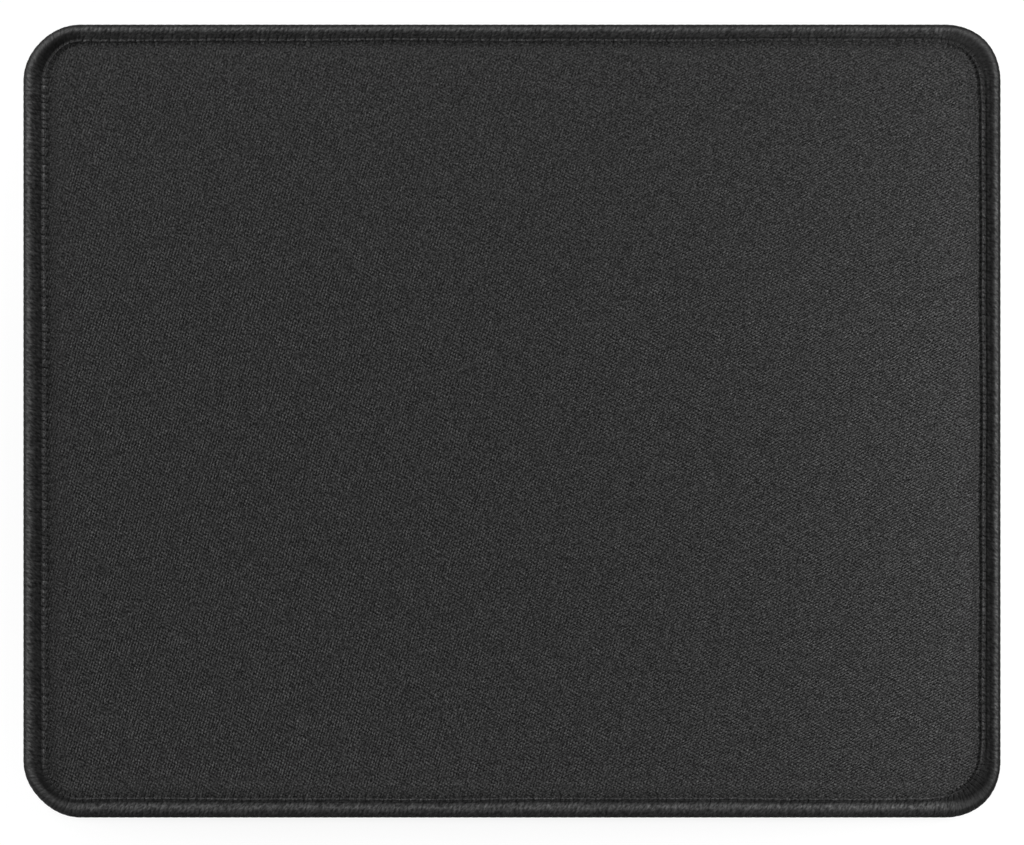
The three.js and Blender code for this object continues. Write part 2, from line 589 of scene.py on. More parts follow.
def sew(stitch, slant, seed):
    """Repeats a stitch all round the mat. Slant is how far its outer end lies behind its inner end."""
    rows = stitch.modifiers.new("row", "ARRAY")
    rows.use_relative_offset = False
    rows.use_constant_offset = True
    rows.constant_offset_displace = (stitch_length, 0, 0)
    rows.count = stitch_count
    rows.offset_u = 1
    rows.use_merge_vertices = True
    rows.merge_threshold = row_merge
    apply_modifiers(stitch)

    place = stitch.data.attributes.new("seam_place", "FLOAT_VECTOR", "POINT")
    for index, vertex in enumerate(stitch.data.vertices):
        place.data[index].vector = vertex.co
        ends = min(vertex.co.x, stitch_length * stitch_count - vertex.co.x) / stitch_length
        vertex.co += sway(vertex.co, seed) * min(max(ends, 0), 1)
        vertex.co.x -= slant * (needle_inset - vertex.co.y) / needle_inset
        vertex.co.x *= walk_length / (stitch_length * stitch_count)

    bend = stitch.modifiers.new("walk", "CURVE")
    bend.object = seam_walk
    bend.deform_axis = "POS_X"
    apply_modifiers(stitch)
    edit(stitch)
    bpy.ops.mesh.select_all(action="SELECT")
    bpy.ops.mesh.remove_doubles(threshold=seam_merge)
    turn_normals_out()
    stop_editing()
    use_only(stitch)
    bpy.ops.object.shade_smooth()
    measure(stitch)
    return stitch


# %% [markdown]
# The upper looper thread comes out from under the needle thread, crosses the groove and the bead, hooks round
# the lower thread at the side of the rim and goes back to the next needle hole. Both looper threads take
# this way, so it is written once.

# %% The path of a looper thread
leg_half_height = thread_thickness / 2
side_inset = leg_half_height * math.cos(math.pi / yarn_sides)
spread_inset = 0.0013
hole_place = 0.04
leg_place = 0.25
hook_place = 0.36


def leg_share(inset):
    """Where a leg lies within its stitch: the legs leave the needle hole together and spread apart."""
    return leg_place * (1 - (1 - min((needle_inset - inset) / spread_inset, 1)) ** 2)


def looper_path(insets, height, hook_height, seam_height):
    """Out along the insets, round a hook at the side, and back the same way."""
    out = [(0, needle_inset, seam_height), (hole_place, needle_inset, seam_height)]
    out += [(leg_share(inset), inset, height(inset)) for inset in insets]
    out += [(leg_place, side_inset, bead_middle)]
    hook = [(hook_place, side_inset, hook_height), (1 - hook_place, side_inset, hook_height)]
    back = [(1 - share, inset, level) for share, inset, level in reversed(out)]
    return out + hook + back


print(f"the legs have spread apart {1000 * (needle_inset - spread_inset):.2f} mm from the edge")

# %% [markdown]
# The lower looper lies under the rim in the same way. It starts half a stitch further on at the needle line,
# and its slant is less than the upper one's by a quarter of a stitch. So at the edge its legs fall between
# the upper legs, and the two threads lock together like a zip.

# %% The two looper threads
leg_stretch = 5.0
leg_slant = 0.0009
hook_drop = 0.00035
hook_rise = 0.0001
upper_insets = [0.0045, 0.0041, 0.0035, 0.0028, 0.0020, 0.0011, 0.0005]
lower_insets = [0.0040, 0.0020, 0.0011, 0.0005]


def upper_leg_height(inset):
    return top_height(inset, leg_half_height, mix(seam_foot, seam_top, 0.5))


def lower_leg_height(inset):
    return bottom_height(inset, leg_half_height, lower_low.z + leg_half_height)


upper_path = looper_path(upper_insets, upper_leg_height, bead_middle - hook_drop, seam_foot)
upper_stitch = add_stitch("upper_looper_stitches", upper_path, leg_half_height, leg_stretch)
upper_looper = sew(upper_stitch, leg_slant, seed=3)

lower_path = looper_path(lower_insets, lower_leg_height, bead_middle + hook_rise, rim_bottom)
lower_path = [(share + 0.5, inset, height) for share, inset, height in lower_path]
lower_stitch = add_stitch("lower_looper_stitches", lower_path, leg_half_height, leg_stretch)
lower_looper = sew(lower_stitch, leg_slant - stitch_length / 4, seed=11)

# %% [markdown]
# The needle thread is finer and tighter. On top it shows as a row of short dashes. At the end of each dash
# it dives through all the layers, makes a small loop that catches the lower thread, and comes up again
# through the same hole. Its places are shares of a stitch, from the middle of one dash to the middle of the
# next.

# %% The needle thread
needle_radius = 0.00019
dash_end = 0.28
dive_place = 0.41
down_place = 0.43
loop_place = 0.388
dash_height = seam_top + 0.00004
dive_height = dash_height - 0.00008
hole_top = seam_foot - 0.0001
loop_height = lower_low.z + 1.4 * needle_radius
loop_bottom = lower_low.z + 1.2 * needle_radius
needle_path = [
    (0, dash_height),
    (dash_end, dash_height),
    (dive_place, dive_height),
    (down_place, hole_top),
    (down_place, rim_bottom),
    (loop_place, loop_height),
    (0.5, loop_bottom),
]
needle_path += [(1 - share, height) for share, height in reversed(needle_path[:-1])]
needle_points = [(share, needle_inset, height) for share, height in needle_path]
needle_stitch = add_stitch("needle_stitches", needle_points, needle_radius, 1)
needle_line = sew(needle_stitch, 0, seed=17)
bpy.data.objects.remove(seam_walk)

# %% [markdown]
# What follows moves the pieces vertex by vertex, so each point first has to know where on the rim it lies:
# how far along the edge, how far in, and which way is outwards. The mat is a rectangle grown by its corner
# radius, so the nearest point of that inner rectangle tells all three.

# %% Where each point lies on the rim
def rim_places(points):
    """For each point: distance along the edge, inset from it, and the outward direction."""
    kept = np.clip(points[:, :2], (-reach_x, -reach_y), (reach_x, reach_y))
    beyond = points[:, :2] - kept
    distance = np.linalg.norm(beyond, axis=1)
    outward = beyond / np.maximum(distance, 1e-9)[:, None]
    turned = np.mod(np.arctan2(outward[:, 1], outward[:, 0]) + math.pi / 2, 2 * math.pi)
    side = np.round(turned / (math.pi / 2)).astype(int) % 4
    turned = np.where((side == 0) & (turned > math.pi), turned - 2 * math.pi, turned)
    walked = np.select(
        [side == 0, side == 1, side == 2, side == 3],
        [
            kept[:, 0],
            reach_x + reach_y + kept[:, 1],
            2 * reach_x + 2 * reach_y - kept[:, 0],
            3 * reach_x + 3 * reach_y - kept[:, 1],
        ],
    )
    return walked + corner_radius * turned, corner_radius - distance, outward


def get_points(piece):
    points = np.empty(3 * len(piece.data.vertices))
    piece.data.vertices.foreach_get("co", points)
    return points.reshape(-1, 3)


def set_points(piece, points):
    piece.data.vertices.foreach_set("co", points.ravel())
    piece.data.update()


_, line_inset, _ = rim_places(get_points(needle_line))
print(f"needle line at {1000 * line_inset.mean():.2f} mm from the edge on average")

# %% [markdown]
# The needle thread pulls a pit into the cloth at every hole, and low gathers run inwards between the holes.
# The cloth also keeps where in its stitch each point lies, so that its finish can paint shade into the pits.

# %% Puckers in the cloth
pit_depth = 0.00022
pit_inset = needle_end + 0.0004
pit_reach = 0.0007
gather_height = 0.00004


def pucker(piece):
    """Pulls the pits and gathers into a piece and stores the beat of the stitches in it."""
    points = get_points(piece)
    along, inset, _ = rim_places(points)
    phase = 2 * math.pi * (along / stitch_length + 0.5)
    hole = np.clip(1 - ((inset - pit_inset) / pit_reach) ** 2, 0, 1)
    pit = hole * np.clip(0.5 + 0.5 * np.cos(phase), 0, 1) ** 2
    fold = np.clip((draw_end - inset) / (draw_end - needle_end), 0, 1) * (inset > seam_inset)
    points[:, 2] -= gather_height * fold * np.cos(phase) + pit_depth * pit
    set_points(piece, points)
    beat = np.stack([np.cos(phase), np.sin(phase), 1000 * (inset - needle_end)], axis=1)
    stored = piece.data.attributes.new("stitch_beat", "FLOAT_VECTOR", "POINT")
    stored.data.foreach_set("vector", beat.ravel())


pucker(knit_cloth)
measure(knit_cloth)

# %% [markdown]
# No rim is sewn perfectly even. On this mat the seam takes more of the cloth on the left than on the right
# and at the back, it wanders a little, the bead swells at the back, and each corner is cut and sewn
# differently. All the pieces of the rim are shifted together by the same rule, so they still fit each other.
# A share moves the seam in proportion to its distance from the edge, and a shift moves the edge as well.

# %% Drift of the seam
seam_shares = {(-1, 0): 0.2, (1, 0): 0.0, (0, 1): -0.08, (0, -1): 0.05}
seam_waves = [(0.02, 7, 0), (0.015, 18, 1)]
corner_shifts = {(-1, 1): 0.0003, (1, 1): -0.0004, (-1, -1): 0.00045, (1, -1): -0.0004}
corner_shares = [0.6, 0.42, 0.1, -0.03]
corner_spread = 0.02
back_swell = 0.0002
side_sharpness = 2
corner_sharpness = 8
drift_start = 0.009
drift_end = corner_radius


def weigh(outward, amounts, sharpness):
    """The amount for each point, from amounts given for the directions that the rim can face."""
    return sum(
        amount * np.maximum(outward @ np.array(way) / np.linalg.norm(way), 0) ** sharpness
        for way, amount in amounts.items()
    )


def near_corners(along):
    """For each point, how near it is to the middle of each corner, in the order of the walk."""
    arc = corner_radius * math.pi / 2
    steps = [reach_x + arc / 2, 2 * reach_y + arc, 2 * reach_x + arc, 2 * reach_y + arc]
    away = np.abs(np.mod(along, edge_length)[:, None] - np.cumsum(steps))
    return 0.5 + 0.5 * np.cos(np.pi * np.minimum(away / corner_spread, 1))


def drift(piece):
    """Shifts the seam towards or away from the edge, more on some sides and corners than on others."""
    points = get_points(piece)
    along, inset, outward = rim_places(points)
    turns = 2 * math.pi * along / edge_length
    share = weigh(outward, seam_shares, side_sharpness)
    share += sum(height * np.sin(count * turns + start) for height, count, start in seam_waves)
    shift = share * inset + weigh(outward, corner_shifts, corner_sharpness)
    on_bead = np.interp(inset, [0, bead_width / 2, bead_width, groove_inset], [0, 1, 1, 0])
    shift += weigh(outward, {(0, 1): back_swell}, side_sharpness) * on_bead
    inside_bead = np.clip(inset, bead_width, needle_end) - bead_width
    shift += near_corners(along) @ corner_shares * inside_bead
    fade = np.clip((drift_end - inset) / (drift_end - drift_start), 0, 1)
    points[:, :2] -= outward * (shift * fade)[:, None]
    set_points(piece, points)
    moved = 1000 * shift * fade
    print(f"{piece.name} shifted by {moved.min():.2f} to {moved.max():.2f} mm")


for piece in (knit_cloth, glue_film, foam_base, upper_looper, lower_looper, needle_line):
    drift(piece)
for piece in (knit_cloth, glue_film, foam_base):
    use_only(piece)
    bpy.ops.object.shade_smooth_by_angle(angle=math.radians(50))

# %% [markdown]
# Every finish is built from nodes, so it has detail at any distance. These helpers keep the node code
# readable: one adds a node and wires it, and the others do sums on its sockets.


# %% Helpers for node trees
def add_node(tree, kind, inputs=None, **options):
    """Adds a node, sets its options, and gives each input a value or another node's output."""
    node = tree.nodes.new("ShaderNode" + kind)
    for option, value in options.items():
        setattr(node, option, value)
    for socket, value in (inputs or {}).items():
        if isinstance(value, bpy.types.NodeSocket):
            tree.links.new(value, node.inputs[socket])
        else:
            node.inputs[socket].default_value = value
    return node


def sum_of(tree, operation, *values):
    """A sum on numbers or sockets, such as ADD, MULTIPLY or SINE."""
    return add_node(tree, "Math", dict(enumerate(values)), operation=operation).outputs[0]


def product_of(tree, first, *others):
    """All the values multiplied together."""
    for other in others:
        first = sum_of(tree, "MULTIPLY", first, other)
    return first


def total_of(tree, first, *others):
    """All the values added together."""
    for other in others:
        first = sum_of(tree, "ADD", first, other)
    return first


def vector_of(tree, operation, *values):
    """A sum on vectors, such as DOT_PRODUCT or MULTIPLY."""
    node = add_node(tree, "VectorMath", dict(enumerate(values)), operation=operation)
    return node.outputs["Value" if operation in ("DOT_PRODUCT", "LENGTH") else "Vector"]


def parts_of(tree, vector):
    """The X, Y and Z of a vector."""
    return add_node(tree, "SeparateXYZ", {0: vector}).outputs


# %% [markdown]
# Most of a finish is made of masks and noise. A mask runs from 0 to 1 across the surface, and stretching its
# range turns it into a tone or a strength. Blender's noise rarely leaves the middle of its range, so it is
# stretched from there.

# %% Helpers for masks and noise
usual_noise = (0.3, 0.7)


def spread(tree, value, low, high, new_low=0.0, new_high=1.0):
    """Stretches a value's range from low and high to a new one."""
    inputs = {"Value": value, "From Min": low, "From Max": high, "To Min": new_low, "To Max": new_high}
    return add_node(tree, "MapRange", inputs).outputs["Result"]


def blend(tree, mask, without, within):
    """One value where a mask is 0 and another where it is 1."""
    return spread(tree, mask, 0, 1, without, within)


def near(tree, value, middle, full, none):
    """A mask that is 1 while a value is within one distance of a middle, and 0 beyond another distance."""
    away = sum_of(tree, "ABSOLUTE", sum_of(tree, "SUBTRACT", value, middle))
    return spread(tree, away, full, none, 1, 0)


def cloud(tree, place, scale, detail=2.0, roughness=0.5):
    """Noise from 0 to 1 whose patches are about one over the scale across."""
    inputs = {"Vector": place, "Scale": scale, "Detail": detail, "Roughness": roughness}
    return add_node(tree, "TexNoise", inputs).outputs["Fac"]


# %% [markdown]
# A material holds the Principled shader, and its constants are set on the shader itself. What two materials
# share goes into a node group with named inputs. The base colour of a finish is one dye, made lighter or
# darker from place to place by a tone. The eye sees dark tones too evenly spread, so an even relief is
# turned into a tone by a power curve.

# %% Helpers for groups, materials and tones
eye_power = 2.4
least_shade = 0.1


def new_group(name, inputs, outputs):
    """A node group with named number or vector inputs and number outputs."""
    group = bpy.data.node_groups.new(name, "ShaderNodeTree")
    for socket, (kind, value) in inputs.items():
        made = group.interface.new_socket(socket, in_out="INPUT", socket_type="NodeSocket" + kind)
        if value is not None:
            made.default_value = value
    for socket in outputs:
        group.interface.new_socket(socket, in_out="OUTPUT", socket_type="NodeSocketFloat")
    return group, group.nodes.new("NodeGroupInput").outputs, group.nodes.new("NodeGroupOutput").inputs


def new_material(name, **constants):
    """A material with a Principled shader, whose constant sockets are set on the shader itself."""
    material = bpy.data.materials.new(name)
    material.use_nodes = True
    shader = material.node_tree.nodes["Principled BSDF"]
    for socket, value in constants.items():
        shader.inputs[socket.replace("_", " ")].default_value = value
    return material, material.node_tree, shader


def tint(tree, colour, factor):
    """A colour made lighter or darker by a factor."""
    colour_node = add_node(tree, "RGB")
    colour_node.outputs[0].default_value = (*colour, 1)
    inputs = {"Vector": colour_node.outputs[0], "Scale": factor}
    return add_node(tree, "VectorMath", inputs, operation="SCALE").outputs["Vector"]


def shade_of(tree, value):
    """A brightness factor that looks evenly spread to the eye: 1 for 0, less below it and more above it."""
    lifted = sum_of(tree, "MAXIMUM", sum_of(tree, "ADD", value, 1.0), least_shade)
    return sum_of(tree, "POWER", lifted, eye_power)


def profile_of(tree, value, stops):
    """A factor that follows stops of (value, factor), such as a tone that changes across the rim."""
    reach = stops[-1][0]
    ramp = add_node(tree, "ValToRGB", {"Fac": spread(tree, value, 0, reach)})
    elements = ramp.color_ramp.elements
    for index, (at, factor) in enumerate(stops):
        stop = elements[index] if index < 2 else elements.new(at / reach)
        stop.position = at / reach
        stop.color = (factor, factor, factor, 1)
    return ramp.outputs["Color"]


def finish_material(piece_or_pieces, material, tree, shader, colour, tone, relief, depth, strength):
    """Wires a dye, its tone and a relief to the shader, and gives the material to its pieces."""
    tree.links.new(tint(tree, colour, tone), shader.inputs["Base Color"])
    bump = add_node(tree, "Bump", {"Height": relief, "Distance": depth, "Strength": strength})
    tree.links.new(bump.outputs[0], shader.inputs["Normal"])
    for piece in piece_or_pieces:
        piece.data.materials.append(material)
    print(f"{material.name}: {len(tree.nodes)} nodes")


# %% [markdown]
# Fibres and threads share one fine effect: a fuzz of stray filaments. It is a group, so that the cloth and
# the threads can each use it at their own scale.

# %% Node group: fibre fuzz
fuzz_group, fuzz_in, fuzz_out = new_group(
    "fibre_fuzz",
    {"Place": ("Vector", None), "Scale": ("Float", 1.0)},
    ["Relief"],
)
strand_scale = 4.3
strand_share = 0.4
fuzz_noise = (0.2, 0.8)
inputs = {0: fuzz_in["Place"], "Scale": fuzz_in["Scale"]}
fuzz_place = add_node(fuzz_group, "VectorMath", inputs, operation="SCALE").outputs[0]
clumps = cloud(fuzz_group, fuzz_place, 1.0, detail=1.0)
clumps = spread(fuzz_group, clumps, *fuzz_noise, -1, 1)
strands = cloud(fuzz_group, fuzz_place, strand_scale, roughness=0.6)
strands = spread(fuzz_group, strands, *fuzz_noise, -1, 1)
fuzz_relief = sum_of(fuzz_group, "MULTIPLY_ADD", strands, strand_share, clumps)
fuzz_group.links.new(fuzz_relief, fuzz_out["Relief"])
print(f"{fuzz_group.name}: {len(fuzz_group.nodes)} nodes")

# %% [markdown]
# A knit repeats in two directions, the wales and the courses, and its stitches lie on a slanted grid. Its
# light comes and goes as waves along those two directions and along their sum. A wave is written as turns
# per millimetre along X and Y. It wanders a little and grows stronger and weaker in patches, because yarn is
# uneven and the cloth isn't stretched evenly.

# %% Node group: knit
wale_wave = (1.307, -0.394, 0.0)
course_wave = (-0.571, -1.040, 0.0)
full_turn = 2 * math.pi
slow_wander = (0.16, 1.6)
quick_wander = (1.1, 3.0)

knit_group, knit_in, knit_out = new_group(
    "knit",
    {"Place": ("Vector", None)},
    ["Relief"],
)
knit_place = vector_of(knit_group, "MULTIPLY", knit_in["Place"], (1000.0, 1000.0, 1000.0))
knit_x, knit_y, _ = parts_of(knit_group, knit_place)


def knit_phase(wave, seed):
    """How far a wave has turned at each place, with its wandering."""
    moved = vector_of(knit_group, "ADD", knit_place, (seed, seed, 0.0))
    turns = vector_of(knit_group, "DOT_PRODUCT", knit_place, wave)
    wanders = [
        spread(knit_group, cloud(knit_group, moved, scale), 0, 1, -reach, reach)
        for scale, reach in (slow_wander, quick_wander)
    ]
    return total_of(knit_group, product_of(knit_group, turns, full_turn), total_of(knit_group, *wanders))


wale_phase = knit_phase(wale_wave, 0.0)
course_phase = knit_phase(course_wave, 40.0)
cross_phase = total_of(knit_group, wale_phase, course_phase)

# %% [markdown]
# From the left of the mat to its right the wales fade and the crossings come up, as they do when a knit is
# seen along its lie on one side and across it on the other. Towards the back all the waves are weaker.

# %% The strength of the knit's waves
left_to_right = (-60, 90)
back_to_middle = (95, 20)
back_strength = 0.6
patch_scale = 0.3
patch_noise = (0.35, 0.65)
patch_strengths = (0.5, 1.3)
from_left = spread(knit_group, knit_x, *left_to_right)
to_front = spread(knit_group, knit_y, *back_to_middle, back_strength, 1.0)


def knit_wave(phase, seed, at_left, at_right):
    """One of the knit's waves, with its strength at the left and at the right of the mat."""
    moved = vector_of(knit_group, "ADD", knit_place, (seed, seed, 0.0))
    patch = cloud(knit_group, moved, patch_scale)
    patch = spread(knit_group, patch, *patch_noise, *patch_strengths)
    strength = blend(knit_group, from_left, at_left, at_right)
    return product_of(knit_group, sum_of(knit_group, "SINE", phase), patch, strength, to_front)


wales = knit_wave(wale_phase, 11.0, 1.0, 0.4)
courses = knit_wave(course_phase, 23.0, 0.65, 0.65)
crossings = knit_wave(cross_phase, 37.0, 0.1, 0.95)
knit_group.links.new(total_of(knit_group, wales, courses, crossings), knit_out["Relief"])
print(f"{knit_group.name}: {len(knit_group.nodes)} nodes")

# %% [markdown]
# The cloth is dyed dark grey, and its fibres are matt with a faint sheen at a low angle. Its relief is the
# knit with the fuzz over it. Near the rim the knit is flattened, because there the cloth is pulled tight.
# Distances from the needle line are in millimetres, and places on the mat are in metres.

# %% Cloth finish: the relief
cloth_colour = (0.03, 0.03, 0.03)
cloth_fuzz_scale = 2100.0
knit_contrast = 0.34
fuzz_contrast = 0.5
tight_zone = (0.5, 9.0)
tight_share = 0.6
cloth_finish, tree, shader = new_material(
    "knit_cloth_finish",
    Roughness=0.95,
    Specular_IOR_Level=0.1,
    Sheen_Weight=0.03,
    Sheen_Roughness=0.5,
)
place = add_node(tree, "TexCoord").outputs["Object"]
place_x, place_y, _ = parts_of(tree, place)
beat = add_node(tree, "Attribute", attribute_name="stitch_beat").outputs["Vector"]
beat_x, beat_y, from_needle = parts_of(tree, beat)
knit = add_node(tree, "Group", {"Place": place}, node_tree=knit_group).outputs["Relief"]
fuzz = add_node(
    tree,
    "Group",
    {"Place": place, "Scale": cloth_fuzz_scale},
    node_tree=fuzz_group,
).outputs["Relief"]
off_rim = spread(tree, from_needle, *tight_zone, tight_share, 1.0)
knit = product_of(tree, knit, off_rim, knit_contrast)
cloth_relief = sum_of(tree, "MULTIPLY_ADD", fuzz, fuzz_contrast, knit)

# %% [markdown]
# The needle holes along the rim are painted nearly black. This is partly their own dark, because light that
# goes in doesn't come out, and partly painted shade: the shade in the pits and the shadow that the rim casts
# beside them.
# They lie in a furrow just inside the needle line, on the beat of the stitches and of their two legs, and
# fibres make their edges ragged. How far they run into each other varies along the seam, and it is set apart
# for the left and the right. The painted shade is strong at the mat's two ends and weak along its long sides.

# %% Cloth finish: the needle holes and their painted shade
furrow_middle = 0.32
furrow_full = 0.1
furrow_none = 0.4
leg_beat_share = 0.6
stitch_beat_share = 0.2
ragged_share = 1.8
left_and_right = (-0.12, 0.12)
side_gape_bias = (-0.5, 0.4)
seam_gape_bias = (-0.6, 0.6)
gape_bias_scale = 150.0
hole_edge = (-0.4, 0.4)
end_zone = (0.112, 0.122)
hole_shade_strengths = (0.15, 0.9)

beat_turn = sum_of(tree, "ARCTAN2", beat_y, beat_x)
stitch_beat = sum_of(tree, "COSINE", beat_turn)
leg_beat = sum_of(tree, "COSINE", product_of(tree, beat_turn, 2.0))
gape_bias = total_of(
    tree,
    spread(tree, place_x, *left_and_right, *side_gape_bias),
    spread(tree, cloud(tree, place, gape_bias_scale), *usual_noise, *seam_gape_bias),
)
gape = total_of(
    tree,
    product_of(tree, fuzz, ragged_share),
    product_of(tree, leg_beat, leg_beat_share),
    product_of(tree, stitch_beat, stitch_beat_share),
    gape_bias,
)
furrow = near(tree, from_needle, furrow_middle, furrow_full, furrow_none)
end_shade_strength = spread(tree, sum_of(tree, "ABSOLUTE", place_x), *end_zone, *hole_shade_strengths)
# Where this mask is 1 the cloth is painted nearly black: the holes' own dark and painted shade in and beside
# the pits.
holes_and_shade = product_of(tree, spread(tree, gape, *hole_edge), furrow, end_shade_strength)

# %% [markdown]
# The cloth's tone on the slope from the needle line up to the flat middle is painted light and shade, where
# the light falls on the slope and where the rim shades it. Tones are written as stops of (millimetres from
# the needle line, factor). The left side, whose seam takes more cloth, has stops of its own, with a painted
# highlight just behind its needle line. The front leans away from the lamps, so painted light holds its tone
# up. The flat cloth is painted a touch darker towards the left.

# %% Cloth finish: painted light and shade
slope_painted_light = [(0.0, 1.25), (0.6, 1.2), (1.1, 0.9), (1.9, 0.8), (3.5, 1.0)]
left_slope_painted_light = [(0.0, 2.4), (0.4, 2.4), (0.7, 1.35), (1.3, 0.8), (2.3, 0.75), (3.5, 0.95)]
left_painted_light_zone = (-0.115, -0.121)
front_lift_zone = (-0.09, -0.096)
least_front_lift = 1.15
left_shade_zone = (-0.06, 0.09)
left_painted_shade = 0.95
hole_painted_shade = 0.12

# Painted light and shade across the slope, with a painted highlight on the left.
slope_light_and_shade = blend(
    tree,
    spread(tree, place_x, *left_painted_light_zone),
    profile_of(tree, from_needle, slope_painted_light),
    profile_of(tree, from_needle, left_slope_painted_light),
)
# Painted light on the front slope.
front_painted_lift = spread(tree, place_y, *front_lift_zone, 0, least_front_lift)
tone = product_of(
    tree,
    shade_of(tree, cloth_relief),
    # The holes and the shade beside them, painted nearly black.
    blend(tree, holes_and_shade, 1, hole_painted_shade),
    sum_of(tree, "MAXIMUM", slope_light_and_shade, front_painted_lift),
    # Painted shade: the flat cloth darker towards the left.
    spread(tree, place_x, *left_shade_zone, left_painted_shade, 1.0),
)
finish_material([knit_cloth], cloth_finish, tree, shader, cloth_colour, tone, cloth_relief, 0.0001, 0.6)

# %% [markdown]
# Threads are bulked polyester. Each leg of a stitch has a tone of its own, and valleys lie between the legs,
# sunk in the relief and painted darker as painted shade. The two kinds of thread share this relief, so it is
# a group, and each gives it its own values. In the corners the stitches lie fanned out and smooth, which
# calms the relief.

# %% Node group: thread relief
legs_per_stitch = 2
leg_turn = legs_per_stitch * full_turn
leg_contrast = 0.05
valley_sharpness = 3.0
corner_calm = 0.45
corner_start = 0.002
corner_full = 0.006


def corner_mask(tree, x, y):
    """A mask that is 1 in the corner of the mat that x and y run towards."""
    along_x = spread(tree, x, reach_x - corner_start, reach_x + corner_full)
    along_y = spread(tree, y, reach_y - corner_start, reach_y + corner_full)
    return product_of(tree, along_x, along_y)


def any_corner_mask(tree, place):
    x, y, _ = parts_of(tree, vector_of(tree, "ABSOLUTE", place))
    return corner_mask(tree, x, y)


relief_group, relief_in, relief_out = new_group(
    "thread_relief",
    {
        "Place": ("Vector", None),
        "Seam": ("Vector", None),
        "Along": ("Float", 0.0),
        "Fuzz": ("Float", 0.0),
        "Valley shade depth": ("Float", 0.1),
    },
    ["Relief"],
)
tree = relief_group
leg_number = sum_of(tree, "FLOOR", product_of(tree, relief_in["Along"], legs_per_stitch))
leg_tone = add_node(tree, "TexWhiteNoise", {"W": leg_number}, noise_dimensions="1D").outputs["Value"]
leg_tone = spread(tree, leg_tone, 0, 1, -leg_contrast, leg_contrast)
walk, _, _ = parts_of(tree, relief_in["Seam"])
# The valleys between the legs darken the colour as painted shade and also sink the bump.
valley_shade = sum_of(tree, "COSINE", product_of(tree, walk, leg_turn / stitch_length))
valley_shade = sum_of(tree, "POWER", spread(tree, valley_shade, -1, 1), valley_sharpness)
valley_shade = product_of(tree, valley_shade, relief_in["Valley shade depth"])
relief = sum_of(tree, "SUBTRACT", total_of(tree, relief_in["Fuzz"], leg_tone), valley_shade)
calm = blend(tree, any_corner_mask(tree, relief_in["Place"]), 1, corner_calm)
tree.links.new(product_of(tree, relief, calm), relief_out["Relief"])
print(f"{tree.name}: {len(tree.nodes)} nodes")

# %% [markdown]
# Across the rim the threads get painted light and shade. They are painted darkest on the outer side, which is
# turned away from the light, and in the groove, where the rim shades them. The stops are written as
# (millimetres from the edge, factor). Along the front the light from behind falls on the bead's inner slope,
# so that side has stops of its own with a painted highlight there, and the right side's factors of painted
# light and shade come on top of the others.

# %% Painted light and shade across the rim
# Painted light and shade for the sides of the rim; the lightest stop is a painted highlight on the bead.
rim_light_and_shade_stops = [
    (0.0, 0.05),
    (0.5, 0.1),
    (1.2, 0.9),
    (1.6, 1.0),
    (2.4, 0.6),
    (3.5, 0.75),
    (4.1, 0.35),
    (4.9, 0.8),
]
front_light_and_shade_stops = [
    (0.0, 0.05),
    (0.9, 0.4),
    (2.1, 0.6),
    (3.2, 1.5),
    (3.6, 1.3),
    (4.1, 0.5),
    (4.9, 0.7),
]
right_light_and_shade_stops = [
    (0.0, 0.45),
    (0.7, 0.45),
    (1.1, 1.0),
    (1.6, 1.0),
    (2.1, 0.5),
    (2.8, 0.4),
    (3.4, 1.5),
    (3.9, 0.7),
    (4.9, 0.8),
]
for side, stops in {"sides": rim_light_and_shade_stops, "front": front_light_and_shade_stops}.items():
    lightest, _ = max(stops, key=lambda stop: stop[1])
    print(f"{side}: lightest {lightest} mm from the edge")

# %% [markdown]
# Both kinds of thread need this painted light and shade, so it is a group too. The walk starts in the middle
# of the front, so its half is the middle of the back and its quarter the middle of the right side. Round the
# two front corners the painted highlight travels across the rim from its place at the sides to its place at
# the front: both sets of stops are slid along by the same amount while one fades into the other.

# %% Node group: painted rim light round the front corners
highlight_travel = 1.6
front_turn = 0.022
painted_light_group, tone_in, tone_out = new_group(
    "rim_painted_light",
    {"Place": ("Vector", None), "Seam": ("Vector", None), "Back painted shade": ("Float", 1.0)},
    ["Tone"],
)
tree = painted_light_group
place_x, place_y, _ = parts_of(tree, tone_in["Place"])
walk, across, _ = parts_of(tree, tone_in["Seam"])
inset = product_of(tree, across, 1000.0)

half_walk = edge_length / 2
off_front = near(tree, walk, half_walk, half_walk - reach_x - front_turn, half_walk - reach_x)
at_front = sum_of(tree, "SUBTRACT", 1.0, off_front)
inset_for_front = sum_of(tree, "MULTIPLY_ADD", off_front, highlight_travel, inset)
inset_for_sides = sum_of(tree, "MULTIPLY_ADD", at_front, -highlight_travel, inset)
rim_painted_light = total_of(
    tree,
    product_of(tree, profile_of(tree, inset_for_front, front_light_and_shade_stops), at_front),
    product_of(tree, profile_of(tree, inset_for_sides, rim_light_and_shade_stops), off_front),
)
print(f"round a front corner the light line travels {highlight_travel} mm across the rim")

# %% [markdown]
# Masks then add painted shade in places: in the groove of every corner, over the whole front right corner
# and, for the needle thread, along the back. The right side's own factors of painted light and shade come on
# top.

